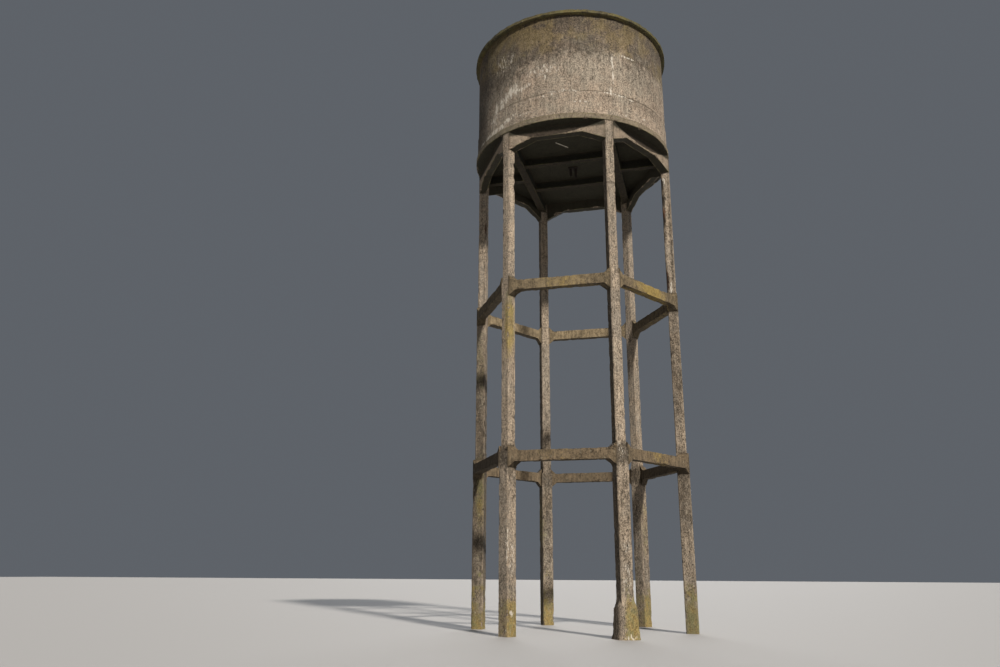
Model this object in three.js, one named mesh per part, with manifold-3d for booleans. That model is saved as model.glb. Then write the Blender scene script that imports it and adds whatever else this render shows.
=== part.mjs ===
import * as THREE from "three";
import { mergeVertices } from "three/addons/utils/BufferGeometryUtils.js";
import Module from "manifold-3d";

// Round concrete tank on six stepped columns, tied together by two rings of beams.
// Lengths in millimetres, heights from the lowest ground point, +Z up.
// One column stands on +X, and the side between the two front columns faces -Y.

// The six columns and the six sides between them, anticlockwise seen from above
const COLUMN_NAMES = ["right", "back_right", "back_left", "left", "front_left", "front_right"];
const SIDE_NAMES = ["right_back", "back", "left_back", "left_front", "front", "right_front"];
const STEP_ANGLE = (2 * Math.PI) / COLUMN_NAMES.length;
const HALF_STEP = STEP_ANGLE / 2;

// Open line between pieces that touch
const GAP = 0.3;

// Heights
const RING_LOW_TOP = 4850;
const RING_HIGH_TOP = 9855;
const RING_DEPTH = 300;
const SOFFIT = 14775;
const SLAB_TOP = 14950;
const POUR_LINE = 15750;
const WALL_TOP = 18480;
const ROOF_EDGE_TOP = 18590;
const ROOF_CROWN_TOP = 18655;

// Columns: plumb inside faces, outer faces and flanks stepped in at each ring
const COLUMN_INNER = 2935;
const LOW_LIFT = { outer: 3295, width: 360, bottom: 0, top: RING_LOW_TOP };
const MIDDLE_LIFT = { outer: 3240, width: 300, bottom: RING_LOW_TOP, top: RING_HIGH_TOP };
const HIGH_LIFT = { outer: 3215, width: 275, bottom: RING_HIGH_TOP, top: SOFFIT - GAP };
const CHAMFER = 28;

// Rough concrete collar round one foot: half widths and heights from the ground to its sloping shoulder
const COLLARED_COLUMN = "front_right";
const COLLAR = [[330, 0], [290, 150], [250, 850], [190, 1000]];

// Beams between columns, with sloping haunches where they meet a column
const BEAM_WIDTH = 250;
const HAUNCH = 160;
const TANK_BEAM_BOTTOM = 14475;
const TANK_HAUNCH_REACH = 590;
const TANK_HAUNCH_DROP = 305;

// Beams under the tank floor
const FLOOR_BEAM_BOTTOM = 14475;
const CROSS_BEAM_BOTTOM = 14535;
const CROSS_BEAM_WIDTH = 200;
const CROSS_BEAM_OFFSET = 880;

// Tank
const SLAB_RADIUS = 3230;
const WALL_OUTER = 3163;
const WALL_INNER = 2983;
const LIFT_PROUD = 22;
const ROOF_RADIUS = 3283;
const ROUND_STEPS = 144;

// Cut-off pipes under the middle of the floor
const FLANGE = { x: 50, length: 320, width: 230, thickness: 25, corner: 30 };
const PIPE = { radius: 45, bore: 38, spacing: 170, long: 310, short: 240 };
const PIPE_STEPS = 32;

// Colour and roughness of each kind of piece
const FINISHES = {
  column: [0x9a8c76, 0.93],
  tie: [0x8a7d62, 0.94],
  tankBeam: [0x8f8069, 0.93],
  floorBeam: [0x7d7667, 0.93],
  floor: [0x80786a, 0.92],
  wall: [0x8f816b, 0.93],
  roof: [0x868262, 0.95],
};
const RUST = { color: 0x4a3a30, roughness: 0.85, metalness: 0.5 };

// How far joined bodies run into each other, and how far cutting bodies run past the cut
const LAP = 40;
const REACH = 600;

// Vertices closer than this are one
const WELD = 0.001;

const wasm = await Module();
wasm.setup();

function toSolid(geometry) {
  geometry.deleteAttribute("normal");
  geometry.deleteAttribute("uv");
  const merged = mergeVertices(geometry, WELD);
  return new wasm.Manifold(new wasm.Mesh({
    numProp: 3,
    vertProperties: merged.getAttribute("position").array,
    triVerts: new Uint32Array(merged.index.array),
  }));
}

function toGeometry(solid) {
  const mesh = solid.getMesh();
  const geometry = new THREE.BufferGeometry();
  geometry.setAttribute("position", new THREE.BufferAttribute(mesh.vertProperties, mesh.numProp));
  geometry.setIndex(new THREE.BufferAttribute(mesh.triVerts, 1));
  const faceted = geometry.toNonIndexed();
  faceted.computeVertexNormals();
  return faceted;
}

function shapeOf(points) {
  return new THREE.Shape(points.map(([x, y]) => new THREE.Vector2(x, y)));
}

// Upright body over a plan outline
function planBody(points, bottom, top) {
  const geometry = new THREE.ExtrudeGeometry(shapeOf(points), { depth: top - bottom, bevelEnabled: false });
  return geometry.translate(0, 0, bottom);
}

// Body drawn out along +X from an outline given as places along +Y and heights
function elevationBody(points, from, to) {
  const geometry = new THREE.ExtrudeGeometry(shapeOf(points), { depth: to - from, bevelEnabled: false });
  geometry.rotateX(Math.PI / 2);
  geometry.rotateZ(Math.PI / 2);
  return geometry.translate(from, 0, 0);
}

function block(x0, x1, y0, y1, bottom, top) {
  return planBody([[x0, y0], [x1, y0], [x1, y1], [x0, y1]], bottom, top);
}

// Hexagonal body in plan, given by the distance from the axis to its sides
function hexagonBody(apothem, firstNormal, bottom, top) {
  const radius = apothem / Math.cos(HALF_STEP);
  const corners = COLUMN_NAMES.map((_, i) => {
    const angle = firstNormal + HALF_STEP + i * STEP_ANGLE;
    return [radius * Math.cos(angle), radius * Math.sin(angle)];
  });
  return planBody(corners, bottom, top);
}

function concrete(kind) {
  const [color, roughness] = FINISHES[kind];
  return new THREE.MeshStandardMaterial({ color, roughness, metalness: 0 });
}

function rustyIron() {
  return new THREE.MeshStandardMaterial(RUST);
}

function named(name, geometry, material) {
  const mesh = new THREE.Mesh(geometry, material);
  mesh.name = name;
  return mesh;
}

// Columns, drawn standing out along +X

function squareSection(lift, bottom, top) {
  const side = lift.width / 2;
  return block(COLUMN_INNER, lift.outer, -side, side, bottom, top);
}

function chamferedSection(lift, bottom, top) {
  const side = lift.width / 2;
  const edge = side - CHAMFER;
  const inner = COLUMN_INNER + CHAMFER;
  const outer = lift.outer - CHAMFER;
  return planBody([
    [COLUMN_INNER, -edge], [inner, -side], [outer, -side], [lift.outer, -edge],
    [lift.outer, edge], [outer, side], [inner, side], [COLUMN_INNER, edge],
  ], bottom, top);
}

// Square body round the foot of a column, from a profile of half widths and heights
function collarGeometry() {
  const sides = 4;
  const profile = COLLAR.map(([half, height]) => new THREE.Vector2(half * Math.SQRT2, height));
  const [first, last] = [profile[0], profile[profile.length - 1]];
  const closed = [new THREE.Vector2(0, first.y), ...profile, new THREE.Vector2(0, last.y)];
  const collar = new THREE.LatheGeometry(closed, sides).rotateX(Math.PI / 2).rotateZ(Math.PI / 4);
  return collar.translate((COLUMN_INNER + LOW_LIFT.outer) / 2, 0, 0);
}

function columnGeometry(name) {
  const headBottom = TANK_BEAM_BOTTOM - TANK_HAUNCH_DROP;
  const sections = [
    chamferedSection(LOW_LIFT, LOW_LIFT.bottom, LOW_LIFT.top - RING_DEPTH),
    squareSection(LOW_LIFT, LOW_LIFT.top - RING_DEPTH - HAUNCH, LOW_LIFT.top),
    squareSection(MIDDLE_LIFT, MIDDLE_LIFT.bottom - LAP, MIDDLE_LIFT.bottom + HAUNCH),
    chamferedSection(MIDDLE_LIFT, MIDDLE_LIFT.bottom, MIDDLE_LIFT.top - RING_DEPTH),
    squareSection(MIDDLE_LIFT, MIDDLE_LIFT.top - RING_DEPTH - HAUNCH, MIDDLE_LIFT.top),
    squareSection(HIGH_LIFT, HIGH_LIFT.bottom - LAP, HIGH_LIFT.bottom + HAUNCH),
    chamferedSection(HIGH_LIFT, HIGH_LIFT.bottom, headBottom + LAP),
    squareSection(HIGH_LIFT, headBottom, HIGH_LIFT.top),
  ];
  if (name === COLLARED_COLUMN) {
    sections.push(collarGeometry());
  }
  return toGeometry(wasm.Manifold.union(sections.map(toSolid)));
}

// Beams of the rings, drawn with the outer face across +X, between columns at -30 and +30 degrees

function beamFace(lift) {
  return lift.outer * Math.cos(HALF_STEP) + (lift.width / 2) * Math.sin(HALF_STEP);
}

// Space kept clear for the lower column and everything behind its flank
function columnRoom(lift, bottom, top) {
  const room = block(
    COLUMN_INNER - REACH, lift.outer + REACH, -REACH, lift.width / 2 + GAP, bottom, top);
  return toSolid(room.rotateZ(-HALF_STEP));
}

// Sloping body against the column's flank, level with the beam at its far end, no further out than a limit
function haunchBody(lift, limit, reach, rise, level) {
  const flank = lift.width / 2;
  const slope = rise / reach;
  const lap = Math.sign(rise) * LAP;
  const outline = [
    [flank - LAP, level - lap],
    [flank - LAP, level + rise + slope * LAP],
    [flank + reach + LAP, level - slope * LAP],
    [flank + reach + LAP, level - lap],
  ];
  const ordered = rise > 0 ? outline.reverse() : outline;
  const body = elevationBody(ordered, COLUMN_INNER - REACH, limit);
  return toSolid(body.rotateZ(-HALF_STEP));
}

function ringBeam(lift, bottom, top, haunches, rooms) {
  const face = beamFace(lift);
  const half = lift.outer * Math.sin(HALF_STEP);
  const strip = toSolid(block(face - BEAM_WIDTH, face, -half, half, bottom - REACH, top + REACH));
  const beam = toSolid(block(face - BEAM_WIDTH, face, -half, half, bottom, top));
  const mirrored = (solid) => solid.mirror([0, 1, 0]);
  const pairs = (solids) => solids.flatMap((solid) => [solid, mirrored(solid)]);
  const whole = wasm.Manifold.union([beam, ...pairs(haunches)]).intersect(strip);
  return toGeometry(whole.subtract(wasm.Manifold.union(pairs(rooms))));
}

function tieBeamGeometry(below, above) {
  const top = below.top;
  const bottom = top - RING_DEPTH;
  return ringBeam(below, bottom, top, [
    haunchBody(below, below.outer + REACH, HAUNCH, -HAUNCH, bottom),
    haunchBody(above, below.outer, HAUNCH, HAUNCH, top),
  ], [
    columnRoom(below, bottom - REACH, top + GAP),
    columnRoom(above, top - LAP, top + REACH),
  ]);
}

function tankBeamGeometry() {
  const limit = HIGH_LIFT.outer + REACH;
  const haunch = haunchBody(HIGH_LIFT, limit, TANK_HAUNCH_REACH, -TANK_HAUNCH_DROP, TANK_BEAM_BOTTOM);
  const room = columnRoom(HIGH_LIFT, TANK_BEAM_BOTTOM - REACH, SOFFIT + LAP);
  return ringBeam(HIGH_LIFT, TANK_BEAM_BOTTOM, SOFFIT - GAP, [haunch], [room]);
}

// Beams under the floor, inside the ring of tank beams and the column heads

function insideRing(geometry) {
  const ringInside = beamFace(HIGH_LIFT) - BEAM_WIDTH - GAP;
  const headInside = COLUMN_INNER - GAP;
  const bottom = FLOOR_BEAM_BOTTOM - REACH;
  const clear = [
    hexagonBody(ringInside, HALF_STEP, bottom, SOFFIT + REACH),
    hexagonBody(headInside, 0, bottom, SOFFIT + REACH),
  ];
  return toGeometry(clear.map(toSolid).reduce((rest, room) => rest.intersect(room), toSolid(geometry)));
}

function floorBeams() {
  const group = new THREE.Group();
  const middle = ((COLUMN_INNER + HIGH_LIFT.outer) / 2) * Math.sin(HALF_STEP);
  const [near, far] = [middle - BEAM_WIDTH / 2, middle + BEAM_WIDTH / 2];
  const top = SOFFIT - GAP;
  const side = CROSS_BEAM_WIDTH / 2;
  for (const [name, turn] of [["right", 0], ["left", Math.PI]]) {
    const main = insideRing(block(near, far, -SLAB_RADIUS, SLAB_RADIUS, FLOOR_BEAM_BOTTOM, top));
    const stub = insideRing(block(far + GAP, SLAB_RADIUS, -side, side, FLOOR_BEAM_BOTTOM, top));
    group.add(named(`floor_beam_${name}`, main.rotateZ(turn), concrete("floorBeam")));
    group.add(named(`stub_beam_${name}`, stub.rotateZ(turn), concrete("floorBeam")));
  }
  for (const [name, y] of [["front", -CROSS_BEAM_OFFSET], ["back", CROSS_BEAM_OFFSET]]) {
    const cross = block(-near + GAP, near - GAP, y - side, y + side, CROSS_BEAM_BOTTOM, top);
    group.add(named(`cross_beam_${name}`, cross, concrete("floorBeam")));
  }
  return group;
}

// Tank floor, wall and roof

function revolved(profile) {
  const points = profile.map(([radius, height]) => new THREE.Vector2(radius, height));
  return new THREE.LatheGeometry(points, ROUND_STEPS).rotateX(Math.PI / 2);
}

function tankFloor() {
  const profile = [[0, SOFFIT], [SLAB_RADIUS, SOFFIT], [SLAB_RADIUS, SLAB_TOP], [0, SLAB_TOP]];
  return named("tank_floor", toGeometry(toSolid(revolved(profile))), concrete("floor"));
}

function tankRoof() {
  const profile = [
    [0, WALL_TOP + GAP], [ROOF_RADIUS, WALL_TOP + GAP],
    [ROOF_RADIUS, ROOF_EDGE_TOP], [0, ROOF_CROWN_TOP],
  ];
  return named("tank_roof", toGeometry(toSolid(revolved(profile))), concrete("roof"));
}

// One sixth of the wall, its middle on +X, the first lift standing proud of the rest
function wallGeometry() {
  const bottom = SLAB_TOP + GAP;
  const proud = WALL_OUTER + LIFT_PROUD;
  const ring = toSolid(revolved([
    [WALL_INNER, bottom], [proud, bottom], [proud, POUR_LINE],
    [WALL_OUTER, POUR_LINE], [WALL_OUTER, WALL_TOP], [WALL_INNER, WALL_TOP], [WALL_INNER, bottom],
  ]));
  const tip = GAP / 2 / Math.sin(HALF_STEP);
  const edge = SLAB_RADIUS * Math.tan(HALF_STEP);
  const sector = toSolid(planBody(
    [[tip, 0], [tip + SLAB_RADIUS, -edge], [tip + SLAB_RADIUS, edge]], bottom - REACH, WALL_TOP + REACH));
  return toGeometry(ring.intersect(sector));
}

// Flange plate and two open pipe ends

function roundedPlate(length, width, corner) {
  const [x, y] = [length / 2, width / 2];
  const plate = new THREE.Shape();
  plate.moveTo(corner - x, -y);
  plate.lineTo(x - corner, -y);
  plate.quadraticCurveTo(x, -y, x, corner - y);
  plate.lineTo(x, y - corner);
  plate.quadraticCurveTo(x, y, x - corner, y);
  plate.lineTo(corner - x, y);
  plate.quadraticCurveTo(-x, y, -x, y - corner);
  plate.lineTo(-x, corner - y);
  plate.quadraticCurveTo(-x, -y, corner - x, -y);
  return plate;
}

function pipeGeometry(length) {
  const ring = new THREE.Shape().absarc(0, 0, PIPE.radius, 0, 2 * Math.PI);
  ring.holes.push(new THREE.Path().absarc(0, 0, PIPE.bore, 0, 2 * Math.PI, true));
  return new THREE.ExtrudeGeometry(ring, { depth: length, bevelEnabled: false, curveSegments: PIPE_STEPS });
}

function pipes() {
  const group = new THREE.Group();
  group.position.x = FLANGE.x;
  const flangeBottom = SOFFIT - GAP - FLANGE.thickness;
  const shape = roundedPlate(FLANGE.length, FLANGE.width, FLANGE.corner);
  const plate = new THREE.ExtrudeGeometry(shape, { depth: FLANGE.thickness, bevelEnabled: false });
  group.add(named("pipe_flange", plate.translate(0, 0, flangeBottom), rustyIron()));
  for (const [name, length, side] of [["long", PIPE.long, 1], ["short", PIPE.short, -1]]) {
    const pipe = named(`pipe_end_${name}`, pipeGeometry(length), rustyIron());
    pipe.position.set((side * PIPE.spacing) / 2, 0, flangeBottom - GAP - length);
    group.add(pipe);
  }
  return group;
}

function aroundTheAxis(prefix, names, firstAngle, kind, makeGeometry) {
  const group = new THREE.Group();
  names.forEach((name, i) => {
    const piece = named(`${prefix}_${name}`, makeGeometry(name), concrete(kind));
    piece.rotation.z = firstAngle + i * STEP_ANGLE;
    group.add(piece);
  });
  return group;
}

const tower = new THREE.Group();
tower.name = "water_tower";
tower.add(
  aroundTheAxis("column", COLUMN_NAMES, 0, "column", columnGeometry),
  aroundTheAxis("tie_low", SIDE_NAMES, HALF_STEP, "tie", () => tieBeamGeometry(LOW_LIFT, MIDDLE_LIFT)),
  aroundTheAxis("tie_high", SIDE_NAMES, HALF_STEP, "tie", () => tieBeamGeometry(MIDDLE_LIFT, HIGH_LIFT)),
  aroundTheAxis("tank_beam", SIDE_NAMES, HALF_STEP, "tankBeam", tankBeamGeometry),
  aroundTheAxis("tank_wall", SIDE_NAMES, HALF_STEP, "wall", wallGeometry),
  floorBeams(),
  tankFloor(),
  tankRoof(),
  pipes(),
);

export default tower;
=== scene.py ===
"""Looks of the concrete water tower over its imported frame, in metres, +Z up.

Each cast piece is cut into a fine grid, worn inwards by weather and bedded into its neighbours.
The finishes are formulas over world places, with masks that the meshes carry for local marks.
"""
import random
from math import cos, dist, hypot, pi, radians, sin
from typing import NamedTuple

import bmesh
import bpy
import numpy as np
from mathutils import Matrix, Vector, noise
from mathutils.bvhtree import BVHTree


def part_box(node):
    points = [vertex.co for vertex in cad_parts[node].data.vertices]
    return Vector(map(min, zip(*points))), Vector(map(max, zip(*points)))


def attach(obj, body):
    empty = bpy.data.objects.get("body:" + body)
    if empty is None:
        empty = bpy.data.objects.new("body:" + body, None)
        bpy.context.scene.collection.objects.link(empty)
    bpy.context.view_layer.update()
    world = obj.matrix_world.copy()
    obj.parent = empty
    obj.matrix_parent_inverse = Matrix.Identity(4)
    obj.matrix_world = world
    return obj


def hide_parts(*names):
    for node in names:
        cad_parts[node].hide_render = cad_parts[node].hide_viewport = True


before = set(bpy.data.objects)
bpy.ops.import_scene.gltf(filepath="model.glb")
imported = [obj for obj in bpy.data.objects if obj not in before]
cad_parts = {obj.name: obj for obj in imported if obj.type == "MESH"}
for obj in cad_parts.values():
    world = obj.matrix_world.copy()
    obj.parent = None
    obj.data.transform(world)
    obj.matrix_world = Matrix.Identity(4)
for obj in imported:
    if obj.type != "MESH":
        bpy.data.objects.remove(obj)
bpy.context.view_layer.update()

COLUMNS = ["right", "back_right", "back_left", "left", "front_left", "front_right"]
SIDES = ["right_back", "back", "left_back", "left_front", "front", "right_front"]
STEP = radians(60)
COLLARED = "front_right"

# First seed of the noise and chance in each kind of piece
SEEDS = {"column": 0, "tie_low": 10, "tie_high": 20, "tank_beam": 30, "wall": 40, "bar": 60,
         "floor_beam": 70, "slab": 80, "roof": 81, "collar": 90}

# Sizes read from the frame
SOFFIT, SLAB_TOP = (corner.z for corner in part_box("tank_floor"))
SLAB_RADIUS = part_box("tank_floor")[1].x
WALL_FOOT, WALL_TOP = (corner.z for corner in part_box("tank_wall_front"))
ROOF_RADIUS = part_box("tank_roof")[1].x
COLUMN_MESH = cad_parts["column_right"].data
COLUMN_MIDDLE = sum(corner.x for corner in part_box("column_right")) / 2
COLUMN_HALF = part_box("column_right")[1].y
LOW_TIE_FOOT, LOW_TIE_TOP = (corner.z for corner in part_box("tie_low_front"))

# Camera, found from the edges in the photograph
CAMERA_BEARING = radians(-81.03)
CAMERA_DISTANCE = 25.145
CAMERA_HEIGHT = 1.587
CAMERA_SWING = radians(5.49)
CAMERA_PITCH = radians(16.36)
CAMERA_ROLL = radians(0.258)
CAMERA_LENS = 29.44

# Light and floor
SUN = dict(bearing=radians(-51), height=radians(33), strength=4.5, width=radians(4),
           colour=(1.0, 0.945, 0.87))
FILL = dict(bearing=radians(97), height=radians(14), strength=2.0, width=radians(40),
            colour=(0.97, 0.98, 1.0))
SKY_COLOUR = (0.8, 0.88, 1.0)
SKY_STRENGTH = 0.14
FLOOR_SIZE = 400
FLOOR_COLOUR = (0.42, 0.41, 0.4)
FLOOR_ROUGHNESS = 0.9

# Gaps that weld places or snap them to a cut, and angles of a flat edge, an arris and a sharp edge
WELD = 0.0005
ON_CUT = 0.006
FLAT = radians(1)
ARRIS = radians(25)
SHARP = radians(38)

# Neighbours: how far a bedded face goes in, and the gaps that count as touching and as near
BED = 0.015
TOUCH = 0.002
NEAR = 0.09

# Steps of the grids along the three axes of a piece
COLUMN_GRID = (0.025, 0.025, 0.033)
BEAM_GRID = (0.03, 0.032, 0.03)
FLOOR_BEAM_GRID = (0.05, 0.05, 0.045)
COLLAR_GRID = (0.027, 0.027, 0.033)
DISC_GRID = (0.06, 0.06, 0.04)
RIM_STEPS = 480

# Weather: widths of its marks on any cast piece, and how far arrises chip and show
WAVE_WIDTH = 0.7
ROUGH_WIDTH = 0.06
CHIP_WIDTH = 0.2
BOWL_WIDTH = 0.09
CHIP_REACH = 0.05
ARRIS_REACH = 0.06

# Tank wall: its grid, and the joint between its upper lifts
WALL_GRID = 0.029
WALL_EDGE_GRID = 0.09
WALL_INSIDE_GRID = 0.3
WALL_COLUMNS = 120
WALL_LAP = 0.001
LIFT_JOINT = 17.19
JOINT_DEPTH = 0.008

# Wear of the wall: depth or height, and width
POUR_WANDER = (0.05, 1.7)
JOINT_WANDER = (0.03, 1.1)
WALL_WAVE = (0.007, 0.8)
WALL_ROUGH = (0.003, 0.06)
RAGGED = (0.016, 0.16)

# Bare bars, and the depth of break that shows one
BAR_COVER = 0.03
BAR_RADIUS = 0.008
BAR_SIDES = 10
BAR_STEP = 0.012
BAR_ROUGH = (0.16, 0.02)
BARRED_DEPTH = 0.046


def add_object(name, data):
    item = bpy.data.objects.new(name, data)
    bpy.context.scene.collection.objects.link(item)
    return item


def round_axis(angle, radius, height):
    """Place at an angle round the tower's axis."""
    return radius * cos(angle), radius * sin(angle), height


# Camera, light and floor

def add_camera():
    data = bpy.data.cameras.new("camera")
    data.lens = CAMERA_LENS
    data.clip_end = FLOOR_SIZE
    camera = add_object("camera", data)
    heading = CAMERA_BEARING + pi / 2 + CAMERA_SWING
    camera.matrix_world = (
        Matrix.Translation(round_axis(CAMERA_BEARING, CAMERA_DISTANCE, CAMERA_HEIGHT))
        @ Matrix.Rotation(heading, 4, "Z")
        @ Matrix.Rotation(pi / 2 + CAMERA_PITCH, 4, "X")
        @ Matrix.Rotation(CAMERA_ROLL, 4, "Z")
    )
    bpy.context.scene.camera = camera


def add_lamp(name, bearing, height, strength, width, colour):
    """A far lamp that shines from a bearing and a height above the floor."""
    data = bpy.data.lights.new(name, "SUN")
    data.energy = strength
    data.angle = width
    data.color = colour
    lamp = add_object(name, data)
    towards = Vector(round_axis(bearing, cos(height), sin(height)))
    lamp.rotation_euler = towards.to_track_quat("Z", "Y").to_euler()


def add_light():
    add_lamp("sun", **SUN)
    add_lamp("fill", **FILL)
    world = bpy.data.worlds.new("sky")
    world.use_nodes = True
    sky = world.node_tree.nodes["Background"]
    sky.inputs["Color"].default_value = (*SKY_COLOUR, 1)
    sky.inputs["Strength"].default_value = SKY_STRENGTH
    bpy.context.scene.world = world
    bpy.context.scene.view_settings.view_transform = "Standard"


def add_floor():
    material = bpy.data.materials.new("studio_floor")
    material.use_nodes = True
    shader = material.node_tree.nodes["Principled BSDF"]
    shader.inputs["Base Color"].default_value = (*FLOOR_COLOUR, 1)
    shader.inputs["Roughness"].default_value = FLOOR_ROUGHNESS
    half = FLOOR_SIZE / 2
    corners = [(-half, -half, 0), (half, -half, 0), (half, half, 0), (-half, half, 0)]
    mesh = bpy.data.meshes.new("studio_floor")
    mesh.from_pydata(corners, [], [(0, 1, 2, 3)])
    mesh.materials.append(material)
    add_object("studio_floor", mesh)


# Number fields over the surface

def field(places, size, seed, octaves=3):
    """Smooth noise at each place, mostly from -1 to 1, with features about as wide as size."""
    shift = Vector((11.3, 5.7, 8.9)) * seed
    return np.array([noise.fractal(Vector(p) / size + shift, 1.0, 2.0, octaves) for p in places.tolist()])


def lumps(places, size, seed, octaves=3):
    """The same noise, mostly from 0 to 1."""
    return 0.5 + 0.5 * field(places, size, seed, octaves)


def rise(values, low, high):
    """0 below low and 1 above high, with a smooth rise between."""
    t = np.clip((values - low) / (high - low), 0, 1)
    return t * t * (3 - 2 * t)


def close(gap, reach):
    """1 where the gap is nothing, falling smoothly to 0 at the reach."""
    return rise(-gap, -reach, 0)


def spun(places, turn):
    """Places turned about the tower's axis."""
    return places @ np.array(Matrix.Rotation(turn, 3, "Z")).T


def spot(places, centre, radii):
    """1 round a centre, falling to 0 at the given half sizes along the three axes."""
    far = np.linalg.norm((places - np.array(centre)) / np.array(radii), axis=1)
    return np.clip(1.5 * (1 - far), 0, 1)


# Cast pieces: their flat faces cut into a grid

def tree_of_others(node):
    """Search tree of all pieces of the frame but one."""
    places, faces = [], []
    for name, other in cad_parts.items():
        if name != node:
            first = len(places)
            places.extend(v.co.copy() for v in other.data.vertices)
            faces.extend([first + i for i in face.vertices] for face in other.data.polygons)
    return BVHTree.FromPolygons(places, faces)


def joined_faces(node, turn):
    """The node turned back to stand out along +X, with its triangles joined into flat faces."""
    bm = bmesh.new()
    bm.from_mesh(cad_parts[node].data)
    bm.transform(Matrix.Rotation(-turn, 4, "Z"))
    bmesh.ops.remove_doubles(bm, verts=bm.verts[:], dist=WELD)
    bmesh.ops.dissolve_limit(bm, angle_limit=FLAT, verts=bm.verts[:], edges=bm.edges[:])
    bm.normal_update()
    return bm


def mark_beds(bm, others, spin):
    """Marks the faces that lie wholly against a neighbour, by material number."""
    for face in bm.faces:
        middle = face.calc_center_median()
        probes = [middle] + [v.co.lerp(middle, 0.1) for v in face.verts]
        towards = spin @ face.normal
        hits = [others.ray_cast(spin @ p - towards * WELD, towards, TOUCH)[0] for p in probes]
        face.material_index = int(all(hit is not None for hit in hits))


def cut_grid(bm, grid):
    """Cuts every face along planes across the three axes, the longest axis first."""
    low = Vector([min(v.co[k] for v in bm.verts) for k in range(3)])
    high = Vector([max(v.co[k] for v in bm.verts) for k in range(3)])
    for axis in sorted(range(3), key=lambda k: low[k] - high[k]):
        count = max(1, round((high[axis] - low[axis]) / grid[axis]))
        normal = Vector([float(k == axis) for k in range(3)])
        for i in range(1, count):
            place = normal * (low[axis] + (high[axis] - low[axis]) * i / count)
            everything = bm.verts[:] + bm.edges[:] + bm.faces[:]
            bmesh.ops.bisect_plane(bm, geom=everything, dist=ON_CUT, plane_co=place, plane_no=normal)
    bmesh.ops.triangulate(bm, faces=[face for face in bm.faces if len(face.verts) > 4])


def nearest_on(edges, places):
    """Distance to the nearest edge and the place on it, for each place."""
    best = np.full(len(places), np.inf)
    foot = places.copy()
    for start, end in edges:
        along = end - start
        share = np.clip((places - start) @ along / (along @ along), 0, 1)
        candidate = start + share[:, None] * along
        gap = np.linalg.norm(places - candidate, axis=1)
        closer = gap < best
        best[closer] = gap[closer]
        foot[closer] = candidate[closer]
    return best, foot


class Cast:
    """One kind of cast piece, turned to stand along +X: its grid, normals, arrises and neighbours.

    open is 0 against a neighbour and 1 where none is near, and bedding is the move into a neighbour.
    """

    def __init__(self, bm, node, turn, grid):
        others = tree_of_others(node)
        spin = Matrix.Rotation(turn, 3, "Z")
        mark_beds(bm, others, spin)
        self.arrises = [
            [np.array(v.co) for v in edge.verts] for edge in bm.edges
            if edge.calc_face_angle_signed() > ARRIS and not any(f.material_index for f in edge.link_faces)
        ]
        cut_grid(bm, grid)
        bm.normal_update()
        bm.verts.index_update()
        self.places = np.array([v.co for v in bm.verts])
        self.normals = np.array([v.normal for v in bm.verts])
        self.faces = [[v.index for v in face.verts] for face in bm.faces]
        self.bedding = np.zeros_like(self.places)
        for vert in bm.verts:
            normals = {f.normal.copy().freeze() for f in vert.link_faces if f.material_index}
            self.bedding[vert.index] = sum(normals, Vector()).normalized() * BED
        self.bedded = np.linalg.norm(self.bedding, axis=1) > 0
        self.arris_gap, self.arris_foot = nearest_on(self.arrises, self.places)
        near = [others.find_nearest(spin @ v.co, NEAR)[3] for v in bm.verts]
        self.open = np.array([1.0 if gap is None else gap / NEAR for gap in near])
        bm.free()


def cast_of(node, turn, grid):
    """The cast piece that has the node's own shape."""
    return Cast(joined_faces(node, turn), node, turn, grid)


class Wear(NamedTuple):
    """Depths that weather takes off a kind of piece, and the noise above which an arris isn't sound."""
    wave: float
    rough: float
    chip: float
    sound: float


WEARS = {
    "column": Wear(wave=0.003, rough=0.003, chip=0.012, sound=0.1),
    "tie": Wear(wave=0.003, rough=0.003, chip=0.014, sound=0.05),
    "tank_beam": Wear(wave=0.003, rough=0.002, chip=0.012, sound=0.1),
    "floor": Wear(wave=0.004, rough=0.002, chip=0.01, sound=0.15),
    "roof": Wear(wave=0.006, rough=0.003, chip=0.014, sound=0.05),
}
WEARS["high_tie"] = WEARS["tie"]
WEARS["slab"] = WEARS["floor"]


def worn(cast, turn, seed, wear, breaks):
    """World places of a worn copy of a cast piece, and its masks. Breaks are given along +X."""
    places = spun(cast.places, turn)
    foot = spun(cast.arris_foot, turn)
    depth = wear.wave * lumps(places, WAVE_WIDTH, seed, 2)
    depth += wear.rough * lumps(places, ROUGH_WIDTH, seed + 0.1, 2)
    chipped = rise(field(foot, CHIP_WIDTH, seed + 0.2, 4), wear.sound, wear.sound + 0.5)
    bite = chipped * np.clip(1 - cast.arris_gap / CHIP_REACH, 0, 1) * rise(cast.open, 0.2, 0.6)
    depth += wear.chip * bite
    broken = rise(bite * chipped, 0.3, 0.7)
    uneven = 0.75 + 0.35 * field(places, BOWL_WIDTH, seed + 0.3, 2)
    for centre, radii, deep in breaks:
        bowl = spot(cast.places, centre, radii) * uneven
        depth = np.maximum(depth, deep * bowl)
        broken = np.maximum(broken, rise(bowl, 0.15, 0.5))
    depth = np.where(cast.bedded, 0, np.clip(depth, 0, None))
    moved = -depth[:, None] * spun(cast.normals, turn) + spun(cast.bedding, turn)
    moved[places[:, 2] < WELD, 2] = 0
    masks = {
        "arris": np.clip(1 - cast.arris_gap / ARRIS_REACH, 0, 1),
        # The corner mask darkens faces next to other pieces: dirt and painted shade.
        "corner": 1 - np.minimum(cast.open, 1),
        "broken": broken,
    }
    return places + moved, masks


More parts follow.
